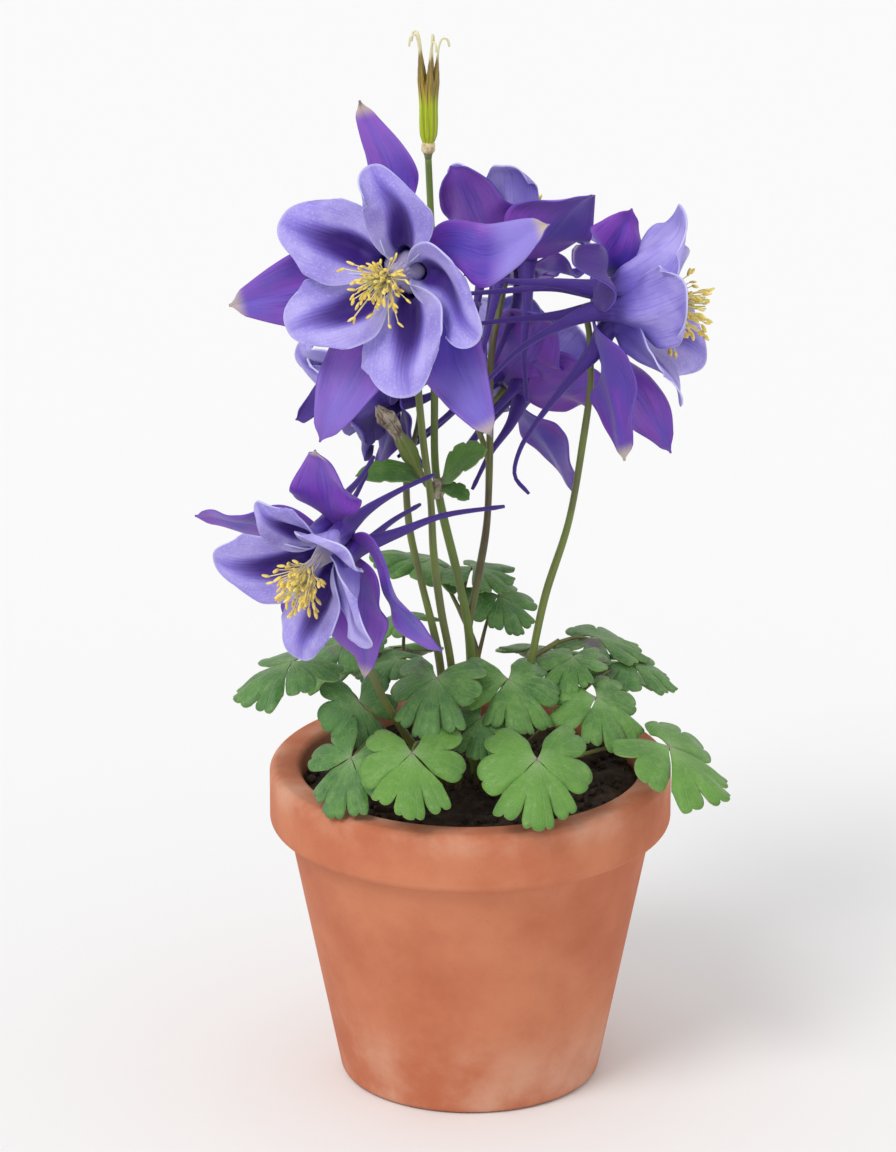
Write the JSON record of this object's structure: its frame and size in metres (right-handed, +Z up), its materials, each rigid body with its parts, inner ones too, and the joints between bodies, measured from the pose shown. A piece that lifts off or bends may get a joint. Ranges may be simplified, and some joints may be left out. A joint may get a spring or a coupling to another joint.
{
  "type": "potted columbine",
  "caption": "Columbine plant with long-spurred violet-blue blooms, a seed head and lobed compound leaves, growing in soil in a plain clay pot.",
  "frame": {"origin": "middle of the pot's foot, on the plane it stands on", "axes": "+Z up along the plant, -Y towards the side that the picture shows, +X to the viewer's right"},
  "size_m": [0.1413, 0.1407, 0.2851],
  "materials": {
    "clay": "matte",
    "soil": "matte",
    "leaf": "matte",
    "stem": "matte",
    "petal": "matte",
    "sepal": "matte",
    "stamen": "matte",
    "seed": "satin",
    "bud": "matte"
  },
  "bodies": {
    "root": {"pot": "clay", "soil": "soil", "bloom_front_petals": "petal", "bloom_front_sepals": "sepal", "bloom_front_stamens": "stamen", "bloom_low_petals": "petal", "bloom_low_sepals": "sepal", "bloom_low_stamens": "stamen", "bloom_right_petals": "petal", "bloom_right_sepals": "sepal", "bloom_right_stamens": "stamen", "bloom_top_petals": "petal", "bloom_top_sepals": "sepal", "bloom_top_stamens": "stamen", "bloom_left_petals": "petal", "bloom_left_sepals": "sepal", "bloom_left_stamens": "stamen", "bloom_back_petals": "petal", "bloom_back_sepals": "sepal", "bloom_back_stamens": "stamen", "stem_front": "stem", "stem_low": "stem", "stem_right": "stem", "stem_left": "stem", "stem_main": "stem", "seed_head": "seed", "withered_bud": "bud", "leaf_front_left": "leaf", "leaf_left": "leaf", "leaf_front_right": "leaf", "leaf_far_right": "leaf", "leaf_right": "leaf", "leaf_middle": "leaf", "leaf_centre": "leaf", "leaf_centre_left": "leaf", "leaf_behind": "leaf", "leaf_behind_left": "leaf", "leaf_rear_left": "leaf", "leaf_rear_right": "leaf"}
  },
  "joints": []
}
